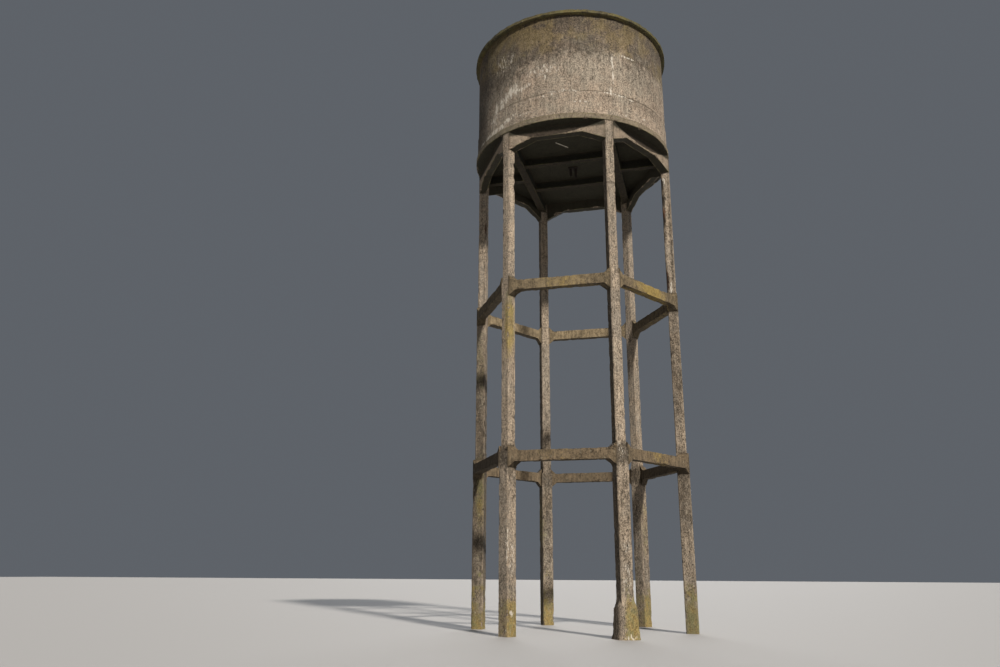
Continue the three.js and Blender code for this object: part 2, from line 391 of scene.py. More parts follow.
def add_piece(name, places, faces, masks, material, nodes=()):
    """A mesh with its masks and finish, which stands for the given nodes of the frame."""
    mesh = bpy.data.meshes.new(name)
    mesh.from_pydata(places.tolist(), [], faces)
    for key, values in masks.items():
        mesh.attributes.new(key, "FLOAT", "POINT").data.foreach_set("value", values.astype(np.float32))
    mesh.materials.append(material)
    mesh.shade_smooth()
    mesh.set_sharp_from_angle(angle=SHARP)
    piece = add_object(name, mesh)
    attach(piece, "root")
    if nodes:
        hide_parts(*nodes)


# Finishes: formulas over world places

def srgb(red, green, blue):
    """Linear colour of a colour as a screen shows it, from 0 to 255."""
    return (*(((c / 255 + 0.055) / 1.055) ** 2.4 for c in (red, green, blue)), 1)


class Finish:
    """One material. Every method adds nodes and returns the socket that holds the result."""

    def __init__(self, name):
        self.material = bpy.data.materials.new(name)
        self.material.use_nodes = True
        self.tree = self.material.node_tree
        self.tree.nodes.clear()
        self.place = self.node("ShaderNodeTexCoord").outputs["Object"]
        parts = self.node("ShaderNodeSeparateXYZ", {0: self.place})
        self.x, self.y, self.z = parts.outputs
        self.normal = self.node("ShaderNodeNewGeometry").outputs["Normal"]

    def node(self, kind, inputs=(), **settings):
        node = self.tree.nodes.new(kind)
        for key, value in settings.items():
            setattr(node, key, value)
        for key, value in dict(inputs).items():
            if isinstance(value, bpy.types.NodeSocket):
                self.tree.links.new(value, node.inputs[key])
            else:
                node.inputs[key].default_value = value
        return node

    def maths(self, operation, first, second=0.0, third=0.0):
        return self.node("ShaderNodeMath", {0: first, 1: second, 2: third}, operation=operation).outputs[0]

    def times(self, first, second):
        return self.maths("MULTIPLY", first, second)

    def times_plus(self, first, second, third):
        """first times second, plus third."""
        return self.maths("MULTIPLY_ADD", first, second, third)

    def most(self, first, second):
        return self.maths("MAXIMUM", first, second)

    def band(self, value, low, high):
        """0 at low and 1 at high, with a smooth rise between."""
        inputs = {"Value": value, "From Min": low, "From Max": high}
        return self.node("ShaderNodeMapRange", inputs, interpolation_type="SMOOTHSTEP").outputs["Result"]

    def between(self, value, low, high, soft):
        """1 from low to high, falling to 0 over soft on both sides."""
        return self.times(self.band(value, low - soft, low), self.band(value, high + soft, high))

    def sum_of(self, start, *terms):
        """start plus each term's distance from one half times its weight."""
        total = self.maths("ADD", start, -0.5 * sum(weight for _, weight in terms))
        for value, weight in terms:
            total = self.times_plus(value, weight, total)
        return total

    def facing(self, direction):
        """1 where the surface faces the direction and -1 where it faces away from it."""
        dot = self.node("ShaderNodeVectorMath", {0: self.normal, 1: direction}, operation="DOT_PRODUCT")
        return dot.outputs["Value"]

    def stretched(self, stretch):
        """The place, squeezed in height so that patterns come out stretch times as high."""
        if stretch == 1:
            return self.place
        inputs = {0: self.place, 1: (1, 1, 1 / stretch)}
        return self.node("ShaderNodeVectorMath", inputs, operation="MULTIPLY").outputs[0]

    def cloud(self, size, detail=3.0, roughness=0.55, stretch=1):
        """Smooth noise about one half, size wide and stretch times as high."""
        inputs = {"Vector": self.stretched(stretch), "Scale": 1 / size, "Detail": detail,
                  "Roughness": roughness}
        return self.node("ShaderNodeTexNoise", inputs).outputs[0]

    def stones(self, size, stretch=1):
        """Distance from the middle of the nearest stone, and a random number for each stone."""
        inputs = {"Vector": self.stretched(stretch), "Scale": 1 / size}
        cells = self.node("ShaderNodeTexVoronoi", inputs)
        number = self.node("ShaderNodeSeparateColor", {0: cells.outputs["Color"]}).outputs[0]
        return cells.outputs["Distance"], number

    def carried(self, name):
        """A mask that the mesh carries, or 0 where it carries none."""
        return self.node("ShaderNodeAttribute", attribute_name=name).outputs["Fac"]

    def broken_up(self, amount, breaker, soft=0.1):
        """A soft mask with its edge frayed by noise."""
        return self.band(self.sum_of(amount, (breaker, 1.5)), 0.5 - soft, 0.5 + soft)

    def mixed(self, below, above, share):
        """The colour below, covered by a share of the colour above."""
        return self.node("ShaderNodeMix", {0: share, 6: below, 7: above}, data_type="RGBA").outputs[2]

    def toned(self, colour, tone):
        """A colour made lighter or darker."""
        if not isinstance(colour, bpy.types.NodeSocket):
            colour = colour[:3]
        return self.node("ShaderNodeVectorMath", {0: colour, "Scale": tone}, operation="SCALE").outputs[0]

    def finished(self, colour, roughness, height, metallic=0.0):
        """The material, with colour, roughness and relief in metres joined into its surface."""
        bump = self.node("ShaderNodeBump", {"Height": height, "Strength": 1.0, "Distance": 1.0})
        shader = self.node("ShaderNodeBsdfPrincipled", {
            "Base Color": colour, "Roughness": roughness, "Metallic": metallic, "Normal": bump.outputs[0],
            "Specular IOR Level": SHINE})
        output = self.node("ShaderNodeOutputMaterial", {"Surface": shader.outputs[0]})
        output.is_active_output = True
        return self.material


# Colours and shine
LIME = srgb(206, 198, 184)
OCHRE = srgb(150, 128, 66)
MOSS = srgb(106, 104, 62)
PALE_LICHEN = srgb(172, 166, 144)
CRUST = srgb(46, 40, 32)
OLD_CRUST = srgb(80, 69, 53)
RUST = srgb(98, 58, 36)
DIRT_AND_SHADE = srgb(60, 52, 40)
# The film colour is painted shade for undersides and sheltered faces, with some algae.
SHADE_FILM_COLOUR = srgb(35, 35, 25)
IRON_DARK = srgb(28, 26, 24)
IRON_BROWN = srgb(54, 45, 38)
IRON_RUST = srgb(92, 66, 48)
SHINE = 0.25

# Sizes of the patterns in the concrete, and heights of its relief
WIDE_PATCHES = 1.7
BROAD_PATCHES = 0.33
SMALL_PATCHES = 0.1
WASH_WIDTH = 0.075
FINE_GRAIN = 0.009
STONE_SIZE = 0.02
RUBBLE_SIZE = 0.028
CRACK_SPACING = 0.07
RING_LICHEN_SIZE = 0.09
LIME_THREADS = 0.036
BREAK_FRAY = 0.04
RUST_FRAY = 0.05
BOARD_RELIEF = 0.0015
CRUST_RELIEF = 0.006
CRACK_RELIEF = 0.006
BREAK_RELIEF = 0.012


class Look(NamedTuple):
    """What tells one kind of concrete from another.

    warm and grey are its two tones. grit is the width of its grain, and stretch its height for that width.
    green is how green its lichens are, and soak how much wet staining and painted shade thicken its crust.
    The others are how strongly each kind of wear shows.
    """
    warm: tuple
    grey: tuple
    grain: float
    mottle: float
    washing: float
    crust: float
    lichen: float
    green: float
    stretch: float = 1.5
    cracks: float = 0.3
    pale: float = 0.0
    soak: float = 0.15
    grit: float = 0.022


class Concrete(Finish):
    """Old concrete, made one layer at a time: colour and height hold what the layers so far give."""

    def __init__(self, name, look):
        super().__init__(name)
        self.look = look
        self.wide = self.cloud(WIDE_PATCHES, 3)
        self.broad = self.cloud(BROAD_PATCHES, 4, 0.6)
        self.patchy = self.cloud(SMALL_PATCHES, 5, 0.65, stretch=look.stretch)
        self.wash = self.cloud(WASH_WIDTH, 4, 0.6, stretch=16)
        self.grain = self.cloud(look.grit, 5, 0.75, stretch=look.stretch ** 0.5)
        self.fine = self.cloud(FINE_GRAIN, 3, 0.7)
        self.bare = self.carried("bare")

    def found(self, name, formula):
        """The mask that the mesh carries, or the formula where that is more."""
        return self.most(self.carried(name), formula(self) if formula else 0.0)

    def cover(self, colour, mask, strength):
        """Lays a colour over the layers so far."""
        self.colour = self.mixed(self.colour, colour, self.times(mask, strength))

    def lift(self, mask, height):
        """Raises the relief by a height where the mask is 1."""
        self.height = self.times_plus(mask, height, self.height)


# Layers of concrete, where the numbers are weights of noises and ranges over which a layer fades in

def lay_paste(f, boards):
    """Paste with the marks of the boards it was cast against, and stones near its surface."""
    look = f.look
    tone = f.sum_of(1.0, (f.wide, 0.5), (f.broad, 0.5), (f.wash, look.washing), (f.grain, look.grain),
                    (f.fine, 0.5), (f.patchy, look.mottle))
    greyness = f.sum_of(0.5, (f.wide, 0.8), (f.broad, 0.9))
    f.colour = f.mixed(look.warm, look.grey, f.band(greyness, 0.3, 0.7))
    f.height = f.sum_of(0.0, (f.grain, 0.45 * look.grit), (f.fine, 0.003), (f.broad, 0.006))
    if boards:
        shade, joint = boards(f)
        tone = f.times(f.sum_of(tone, (shade, 0.1)), f.times_plus(joint, -0.1, 1.0))
        f.lift(joint, -BOARD_RELIEF)
        f.lift(shade, BOARD_RELIEF)
    distance, number = f.stones(STONE_SIZE, look.stretch ** 0.5)
    contrast = f.times(f.sum_of(0.0, (number, 1.0)), 0.55)
    tone = f.times_plus(f.band(distance, 0.5, 0.35), contrast, tone)
    f.colour = f.toned(f.colour, f.most(tone, 0.3))


def crust_over(f, damped):
    """Dark crust in specks, which stand closer where the mask of wet stains and painted shade is high. That
    mask also darkens the whole colour, partly as painted shade.
    """
    look = f.look
    f.damp = f.times_plus(f.bare, -0.45, f.found("damp", damped))
    specks = f.cloud(1.15 * look.grit, 5, 0.72, stretch=look.stretch)
    f.speck = f.sum_of(specks, (f.patchy, 0.5), (f.broad, 0.3), (f.fine, 0.2))
    crust = f.band(f.times_plus(f.damp, -look.soak, f.speck), 0.45, 0.31)
    age = f.band(f.sum_of(f.grain, (f.patchy, 0.8)), 0.42, 0.58)
    f.colour = f.toned(f.colour, f.times_plus(f.damp, -0.36, 1.0))
    f.cover(f.mixed(CRUST, OLD_CRUST, age), crust, look.crust)
    f.lift(crust, -CRUST_RELIEF)


def lay_shade_film(f, shade_filmed):
    """A dark green film laid where the lamps give little light: painted shade, with some algae."""
    shade_film = f.toned(SHADE_FILM_COLOUR, f.sum_of(1.0, (f.grain, 1.6), (f.broad, 0.7), (f.wash, 0.8)))
    where = f.band(f.sum_of(shade_filmed(f), (f.patchy, 0.6)), 0.2, 0.7)
    f.cover(shade_film, where, 0.92)


def crack(f):
    """Upright hairline cracks, where a noise passes its middle value."""
    off_middle = f.maths("ABSOLUTE", f.sum_of(0.0, (f.cloud(CRACK_SPACING, 5, 0.6, stretch=7), 1.0)))
    cracked = f.band(f.sum_of(0.5, (f.broad, 1.0), (f.wide, 0.7)), 0.48, 0.6)
    line = f.times(f.band(off_middle, 0.008, 0.002), cracked)
    f.cover(CRUST, line, f.look.cracks)
    f.lift(line, -CRACK_RELIEF)


def soil(f):
    """Bare paste on arrises, dirt and painted shade in corners and beside neighbouring pieces, and dirt
    along the lines between lifts.
    """
    rubbed = f.band(f.sum_of(f.carried("arris"), (f.patchy, 1.5)), 0.6, 0.9)
    f.cover(f.look.warm, rubbed, 0.3)
    silted_and_shaded = f.band(f.sum_of(f.carried("corner"), (f.broad, 1.2)), 0.35, 0.95)
    f.cover(DIRT_AND_SHADE, silted_and_shaded, 0.55)
    seam = f.sum_of(f.carried("joint"), (f.patchy, 1.2), (f.grain, 0.8))
    f.cover(DIRT_AND_SHADE, f.band(seam, 0.4, 0.9), 0.5)


def grow_lichen(f, lichened):
    """Lichens from ochre to green, and pale round ones."""
    where = f.maths("SUBTRACT", f.found("lichen", lichened), f.bare)
    growth = f.sum_of(where, (f.broad, 0.9), (f.patchy, 1.2), (f.grain, 1.2))
    greenness = f.sum_of(f.look.green, (f.wide, 1.2), (f.patchy, 1.8))
    tint = f.mixed(OCHRE, MOSS, f.band(greenness, 0.25, 0.75))
    tone = f.most(f.sum_of(0.95, (f.grain, 2.2), (f.broad, 0.8)), 0.4)
    f.cover(f.toned(tint, tone), f.band(growth, 0.25, 1.1), f.look.lichen)
    rings, rank = f.stones(RING_LICHEN_SIZE, 1.2)
    ring = f.band(f.sum_of(rings, (f.fine, 0.6)), 0.36, 0.2)
    f.cover(PALE_LICHEN, f.times(f.band(rank, 0.9, 0.94), ring), f.look.pale)


def run_lime(f, limed):
    """Lime that has run out in threads."""
    wet = f.found("lime", limed)
    threads = f.cloud(LIME_THREADS, 5, 0.7, stretch=4)
    lime = f.sum_of(f.times(wet, 0.8), (threads, 3.6), (f.fine, 0.8))
    f.cover(LIME, f.times(f.band(lime, 0.42, 0.64), f.band(wet, 0.0, 0.25)), 0.9)


def break_open(f):
    """Breaks that show the stones, darkened by the mask of wet stains and painted shade, and rust."""
    stony, number = f.stones(RUBBLE_SIZE)
    tone = f.sum_of(0.78, (number, 0.7), (f.speck, 1.5), (stony, -0.8))
    darkness = f.times(f.band(f.damp, 0.2, 0.9), 0.85)
    rubble = f.mixed(f.toned(f.look.warm, tone), CRUST, darkness)
    gone = f.broken_up(f.carried("broken"), f.cloud(BREAK_FRAY, 3, 0.6))
    f.cover(rubble, gone, 1.0)
    f.lift(f.times(gone, stony), -BREAK_RELIEF)
    rusty = f.broken_up(f.carried("rust"), f.cloud(RUST_FRAY, 4, 0.65, stretch=4), 0.2)
    f.cover(RUST, rusty, 0.7)


def concrete(name, look, boards=None, damped=None, lichened=None, limed=None, shade_filmed=None):
    """Old concrete with all its layers. The last five are functions that mask a layer."""
    f = Concrete(name, look)
    lay_paste(f, boards)
    crust_over(f, damped)
    if shade_filmed:
        lay_shade_film(f, shade_filmed)
    crack(f)
    soil(f)
    grow_lichen(f, lichened)
    run_lime(f, limed)
    break_open(f)
    return f.finished(f.colour, f.sum_of(0.9, (f.fine, 0.12), (f.broad, 0.08)), f.height)


# Places where a finish changes

WALL_BOARDS = 166
BOARD_WIDTH = 0.13
UP = (0, 0, 1)
SUNNY_SIDE = (0.7, -0.7, 0)
SUNLESS_SIDE = round_axis(SUN["bearing"] + pi, 1, 0)
STREAK = ((-0.2, -1.82), (0.12, -1.44))
STREAK_HALF_WIDTH = 0.012
HAUNCH = 0.3
RING_STAIN = 0.35
BETWEEN_RINGS = (6, 8)


def lines_between(f, boards):
    """Tone of each board and the thin line between two, from a number that grows by 1 a board."""
    share = f.maths("FRACT", boards)
    tone = f.node("ShaderNodeTexWhiteNoise", {"W": f.maths("FLOOR", boards)}, noise_dimensions="1D")
    joint = f.maths("SUBTRACT", 1.0, f.between(share, 0.05, 0.95, 0.05))
    return tone.outputs["Value"], f.times(joint, f.band(f.cloud(0.4, 3), 0.42, 0.6))


def boards_round(f):
    """Upright boards round the drum."""
    angle = f.maths("ARCTAN2", f.y, f.x)
    return lines_between(f, f.times_plus(angle, WALL_BOARDS / (2 * pi), WALL_BOARDS))


def boards_across(f):
    """Long boards under the floor, side by side along Y, with the middle of one on the axis."""
    return lines_between(f, f.times_plus(f.y, 1 / BOARD_WIDTH, 1000.5))


def sunless(f):
    """Upright faces turned from the sun, which some formulas below darken as painted shade."""
    return f.band(f.facing(SUNLESS_SIDE), -0.1, 0.12)


def underside_damp_and_shade(f):
    """Undersides, darkened as wet and as painted shade."""
    return f.times(f.band(f.facing(UP), -0.3, -0.8), 1.5)


def sheltered_in_shade(f):
    """Where the dark film lays painted shade: undersides, faces towards the tower's axis, and a painted
    shadow just under the tank's floor.
    """
    level = f.node("ShaderNodeVectorMath", {0: f.place, 1: (1, 1, 0)}, operation="MULTIPLY").outputs[0]
    outward = f.node("ShaderNodeVectorMath", {0: level}, operation="NORMALIZE").outputs[0]
    facing_in = f.most(f.band(f.facing(UP), -0.3, -0.7), f.band(f.facing(outward), -0.3, -0.7))
    near_soffit = f.times(f.band(f.z, SOFFIT - 0.3, SOFFIT), f.band(f.z, SOFFIT + 0.02, SOFFIT))
    return f.most(facing_in, near_soffit)


def soffit_streak(f):
    """A thin run of lime slantwise over the underside of the floor."""
    start, end = Vector(STREAK[0]), Vector(STREAK[1])
    run = (end - start).normalized()
    along = f.times_plus(f.x, run.x, f.times_plus(f.y, run.y, -start.dot(run)))
    across = f.times_plus(f.x, -run.y, f.times_plus(f.y, run.x, start.cross(run)))
    line = f.band(f.maths("ABSOLUTE", across), 0.03, STREAK_HALF_WIDTH)
    return f.times(line, f.between(along, 0.0, (end - start).length, 0.03))


def column_damp(f):
    """The lowest lift is a little wet and its joint with the lower ring is stained. The sunless side is
    darkened as painted shade.
    """
    height = f.sum_of(f.z, (f.cloud(0.15, 3), 0.3))
    ring = f.between(height, LOW_TIE_FOOT + 0.2, LOW_TIE_TOP - 0.2, RING_STAIN)
    damp = f.most(f.times(f.band(f.z, 5.5, 3.0), 0.3), f.times(ring, 1.1))
    return f.most(damp, f.times(sunless(f), 1.1))


def near_column(f):
    """The ends of a tie, where its haunches are."""
    out = f.maths("SQRT", f.times_plus(f.x, f.x, f.times(f.y, f.y)))
    return f.band(out, COLUMN_MIDDLE - HAUNCH, COLUMN_MIDDLE)


def low_tie_damp(f):
    """Undersides, darkened as wet and as painted shade, and sunless sides in painted shade."""
    return f.most(underside_damp_and_shade(f), f.times(sunless(f), 1.2))


def high_tie_damp(f):
    """Undersides and sunless sides as in the lower ring, and wet-stained haunches."""
    return f.most(low_tie_damp(f), f.times(near_column(f), 0.6))


def wall_damp(f):
    """The top lift is dark, with a ragged fringe under it. It is darker still on the left, the side turned
    from the sun, as painted shade, and under the roof, partly as a painted shadow of its overhang.
    """
    ragged = f.sum_of(f.z, (f.cloud(0.9, 4, 0.6), 1.8), (f.cloud(0.12, 4, 0.6, stretch=2), 1.8))
    # left is 1 on the side turned from the sun, and the darkening it adds there is painted shade.
    left = f.band(f.x, 1.5, -2.5)
    level = f.times_plus(left, 0.6, ragged)
    dark = f.times(f.band(level, LIFT_JOINT - 0.4, LIFT_JOINT + 0.35), f.times_plus(left, 0.25, 1.2))
    return f.times_plus(f.band(f.z, WALL_TOP - 0.7, WALL_TOP - 0.1), 0.4, dark)


def wall_lichen(f):
    """A brown tint in patches of the top lift."""
    return f.times(f.band(f.z, LIFT_JOINT - 0.4, LIFT_JOINT + 0.3), f.band(f.cloud(0.8, 3), 0.3, 0.65))


def foot_lichen(f):
    """Strong near the ground and gone at about a metre and a half."""
    height = f.sum_of(f.z, (f.cloud(0.5, 3), 4.0), (f.cloud(0.12, 3), 2.0))
    side = f.times_plus(f.band(f.facing(SUNNY_SIDE), -0.2, 0.9), 0.5, 0.5)
    return f.times(f.band(height, 2.2, 0.0), side)


def tie_lichen(f):
    """Strongest on the right-hand front, and weak near the columns and on sunless sides, which keeps those
    sides dark as painted shade.
    """
    towards = f.times_plus(f.x, 0.87, f.times(f.y, -0.5))
    upper = f.times_plus(f.band(f.z, *BETWEEN_RINGS), 0.12, 0.25)
    growth = f.sum_of(f.times_plus(towards, upper, 0.1), (f.cloud(0.9, 3), 0.8))
    clear = f.maths("SUBTRACT", 1.0, near_column(f))
    return f.times(f.times(growth, clear), f.times_plus(sunless(f), -0.8, 1.0))


def arris_lichen(f):
    """A green film on arrises."""
    return f.times(f.carried("arris"), 0.7)


def roof_lichen(f):
    """Patches all over."""
    return f.sum_of(0.65, (f.cloud(0.7, 3), 2.0))


# Local marks and breaks

def on_column(out, side, height):
    """Place on a column standing along +X: out is 0 at its inner face and 1 at its outer, side -1 to 1."""
    above = [v.co for v in COLUMN_MESH.vertices if v.co.z > height]
    inner, outer, half = min(p.x for p in above), max(p.x for p in above), max(p.y for p in above)
    return inner + out * (outer - inner), side * half, height


# Breaks at column arrises: out, side, height, half height, depth
COLUMN_BREAKS = {
    "right": [(0, -1, 13.75, 0.3, 0.05), (0, -1, 13.15, 0.22, 0.04), (0, -1, 12.5, 0.34, 0.055),
              (0, -1, 10.4, 0.42, 0.05)],
    "front_left": [(0, 1, 13.7, 0.12, 0.048), (0, 1, 13.34, 0.13, 0.05), (0, 1, 12.97, 0.15, 0.055)],
    "left": [(0, 1, 12.83, 0.38, 0.048)],
    "back_left": [(1, -1, 7.3, 0.3, 0.046)],
    "back_right": [(1, 1, 12.1, 0.34, 0.05)],
}
BREAK_REACH = 0.105
SMALL_BREAK_REACH = 0.05
SMALL_BREAK_DEPTHS = (0.012, 0.03)

# Marks on columns: kind, strength, out, side, height, half width, half height
COLUMN_MARKS = {
    "right": [
        ("lime", 0.9, 0.3, -1, 13.85, 0.07, 0.2), ("rust", 0.7, 0.15, -1, 12.7, 0.1, 0.3),
        ("rust", 0.7, 0.1, -1, 10.4, 0.07, 0.5), ("lime", 0.9, 0.5, -1, 10.2, 0.045, 0.3),
        # The two strongest marks of this kind here darken the broken inner arris: painted shade in the
        # breaks, with dirt.
        ("damp", 0.85, 0.82, -1, 12.0, 0.075, 2.8), ("damp", 2.4, 0.0, -1, 13.1, 0.11, 1.5),
        ("damp", 2.0, 0.0, -1, 10.4, 0.1, 0.8), ("damp", 0.75, 0.5, -1, 7.5, 0.5, 2.8),
        ("damp", 0.9, 0.5, -1, 3.9, 0.5, 2.0), ("lichen", 0.9, 0.5, -1, 0.4, 0.4, 0.9),
    ],
    "front_left": [
        ("lime", 0.9, 0.55, 1, 0.58, 0.11, 0.13), ("damp", 0.9, 1.0, 1, 12.3, 0.04, 2.4),
        ("damp", 0.5, 0.6, 1, 4.4, 0.3, 0.7), ("lichen", 1.0, 0.8, 1, 8.6, 0.3, 1.6),
        ("lime", 0.45, 1.0, 0.9, 2.4, 0.1, 0.9), ("lime", 0.4, 0.5, 1, 1.9, 0.14, 0.8),
        ("lichen", 0.9, 0.3, 1, 0.8, 0.12, 0.2), ("lime", 0.5, 0.8, 0.8, 0.1, 0.2, 0.2),
        ("bare", 1.7, 0.4, 1.2, 12.3, 0.3, 2.8), ("bare", 0.8, 0.7, 1, 2.6, 0.4, 1.4),
    ],
    "front_right": [
        ("lime", 0.35, 1.0, 0.1, 2.3, 0.12, 0.3), ("lime", 0.4, 1.0, -0.2, 4.8, 0.12, 0.45),
        ("damp", 0.8, 1.0, -1, 2.4, 0.05, 1.8), ("lichen", 0.9, 1.0, 0.8, 0.5, 0.25, 0.6),
        ("damp", 0.4, 1.0, 0, 3.6, 0.3, 0.9), ("lime", 0.35, 1.0, 0, 1.5, 0.2, 0.5),
        ("lime", 0.6, 1.8, 0, 0.05, 0.4, 0.14), ("bare", 1.8, 0.7, -2.1, 0.7, 0.38, 1.4),
        ("joint", 1.6, 1.0, 0, 12.7, 0.3, 0.04),
    ],
    "back_left": [
        ("lime", 0.8, 1.0, 0.2, 1.1, 0.1, 0.14), ("lichen", 0.7, 0.5, 1, 3.2, 0.3, 1.6),
        ("damp", 0.8, 0.5, 0, 4.0, 0.6, 3.5),
    ],
    "back_right": [
        ("rust", 0.9, 1.0, 1, 12.1, 0.08, 0.4), ("lichen", 0.5, 0.5, -1, 3.0, 0.3, 1.6),
    ],
    "left": [
        ("rust", 0.9, 0.0, 1, 12.8, 0.09, 0.4), ("lichen", 0.7, 0.3, 1, 4.0, 0.3, 1.8),
        # The long mark low on this column is painted shade of a tree, laid as brown staining.
        ("lichen", 0.5, 0.5, 1, 8.0, 0.3, 1.6), ("damp", 1.2, 0.5, 0, 4.5, 0.7, 6.0),
    ],
}

# Marks on the tank wall: strength, degrees round, height, half width, half height
WALL_MARKS = {
    "lime": [
        (0.9, -124, 15.1, 0.24, 0.12), (1.0, -119, 15.22, 0.24, 0.12), (0.6, -114.5, 15.3, 0.22, 0.09),
        (0.6, -108, 15.22, 0.35, 0.04), (0.9, -137, 15.04, 0.34, 0.14), (0.9, -130, 15.08, 0.32, 0.14),
        (0.8, -146, 15.02, 0.34, 0.12), (0.5, -130, 15.5, 0.3, 0.35), (0.9, -129, 15.85, 0.12, 0.34),
        (0.9, -124.5, 15.92, 0.16, 0.3), (0.8, -121, 16.05, 0.14, 0.26), (1.0, -117, 16.18, 0.15, 0.3),
        (0.9, -113.5, 16.22, 0.15, 0.28), (0.8, -110, 16.13, 0.2, 0.12), (0.6, -105, 16.22, 0.16, 0.1),
        (0.7, -103.5, 16.62, 0.05, 0.13), (0.9, -102, 15.59, 0.05, 0.08), (0.9, -96, 15.66, 0.06, 0.06),
        (0.9, -91, 15.68, 0.06, 0.05), (1.0, -84.5, 15.8, 0.08, 0.05), (1.0, -81, 15.76, 0.07, 0.06),
        (1.0, -77.5, 15.74, 0.07, 0.06), (0.6, -86, 15.76, 0.9, 0.05), (0.6, -58, 15.74, 0.7, 0.05),
        (1.0, -78.5, 15.36, 0.07, 0.06), (1.0, -75.5, 15.38, 0.06, 0.06), (1.0, -71.8, 15.37, 0.12, 0.05),
        (1.0, -57.6, 15.82, 0.05, 0.22), (1.0, -56.3, 16.86, 0.06, 0.4), (0.8, -56, 16.35, 0.05, 0.3),
        (0.9, -46, 17.2, 0.36, 0.045), (1.0, -51, 15.72, 0.14, 0.045), (0.9, -45, 15.68, 0.18, 0.045),
        (0.9, -49, 15.08, 0.07, 0.06), (0.8, -35, 15.2, 0.08, 0.06), (0.9, -95, 16.35, 0.05, 0.14),
        (0.4, -96, 16.6, 0.8, 0.3), (0.4, -122, 17.3, 0.6, 0.5), (0.8, 68, 15.9, 0.2, 0.3),
        (0.8, 74, 16.1, 0.14, 0.4), (0.8, 112, 15.7, 0.4, 0.12), (0.8, 158, 15.5, 0.2, 0.35),
        (0.7, 20, 15.75, 0.3, 0.1),
    ],
    "damp": [
        # The strongest mark here, at -168 degrees, is painted shade on the side of the drum turned from the
        # sun.
        (0.45, -30, 16.7, 1.1, 1.0), (0.5, -30, 15.6, 1.1, 0.3), (2.0, -168, 16.0, 2.0, 2.6),
        (0.8, -132, 16.7, 1.1, 1.0), (0.3, -62, 17.0, 0.9, 0.3), (0.35, -92, 16.95, 0.9, 0.3),
        (0.4, -115, 16.9, 0.9, 0.4), (0.5, -140, 16.8, 1.2, 0.7), (0.4, -60, 15.55, 0.6, 0.15),
        (0.5, 30, 15.6, 1.2, 0.5), (0.5, 95, 15.4, 1.0, 0.4), (0.5, 140, 16.2, 0.9, 0.6),
    ],
}


def marked(masks, places, marks):
    """Adds masks for marks given as kind, strength, centre and half sizes along the three axes."""
    for kind, strength, centre, radii in marks:
        here = strength * spot(places, centre, radii)
        masks[kind] = np.maximum(masks.get(kind, np.zeros(len(places))), here)
    return masks


def scattered_breaks(cast, seed, count, longest):
    """Small breaks at chance places on a piece's arrises, longer along the arris than across it."""
    chance = random.Random(seed)
    lengths = [dist(start, end) for start, end in cast.arrises]
    breaks = []
    for start, end in chance.choices(cast.arrises, lengths, k=count):
        centre = start + (end - start) * chance.uniform(0.03, 0.97)
        along = np.abs(end - start) / dist(start, end)
        radii = SMALL_BREAK_REACH + along * chance.uniform(0.03, longest)
        breaks.append((centre, radii, chance.uniform(*SMALL_BREAK_DEPTHS)))
    return breaks


# Round parts

def disc(radius, low, high):
    """Flat round slab, not cut yet."""
    bm = bmesh.new()
    rings = []
    for z in (low, high):
        angles = [2 * pi * i / RIM_STEPS for i in range(RIM_STEPS)]
        rings.append([bm.verts.new(round_axis(a, radius, z)) for a in angles])
    bm.faces.new(reversed(rings[0]))
    bm.faces.new(rings[1])
    for i in range(RIM_STEPS):
        j = (i + 1) % RIM_STEPS
        bm.faces.new((rings[0][i], rings[0][j], rings[1][j], rings[1][i]))
    bm.normal_update()
    return bm


def split_evenly(corners, steps):
    """Places along a line through corners, each stretch split into equal parts of about its step."""
    points = []
    for start, end, step in zip(corners, corners[1:], steps):
        count = max(1, round(dist(start, end) / step))
        points += [np.array(start) + (np.array(end) - start) * k / count for k in range(count)]
    return np.array(points)


def wall_sizes():
    """Radii of the first lift, the rest and the inside, and the height where the first lift ends."""
    corners = [(hypot(v.co.x, v.co.y), v.co.z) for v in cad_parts["tank_wall_front"].data.vertices]
    proud, inner = max(corners)[0], min(corners)[0]
    outer = max(r for r, z in corners if z > WALL_TOP - WELD)
    return proud, outer, inner, max(z for r, z in corners if r > proud - WELD)


def band_faces(rows, columns):
    """Faces of a closed section swept round, column after column, with both ends shut."""
    faces = []
    for j in range(columns - 1):
        for i in range(rows):
            k = (i + 1) % rows
            faces.append([j * rows + i, (j + 1) * rows + i, (j + 1) * rows + k, j * rows + k])
    faces.append(list(range(rows)))
    faces.append([(columns - 1) * rows + i for i in reversed(range(rows))])
    return faces


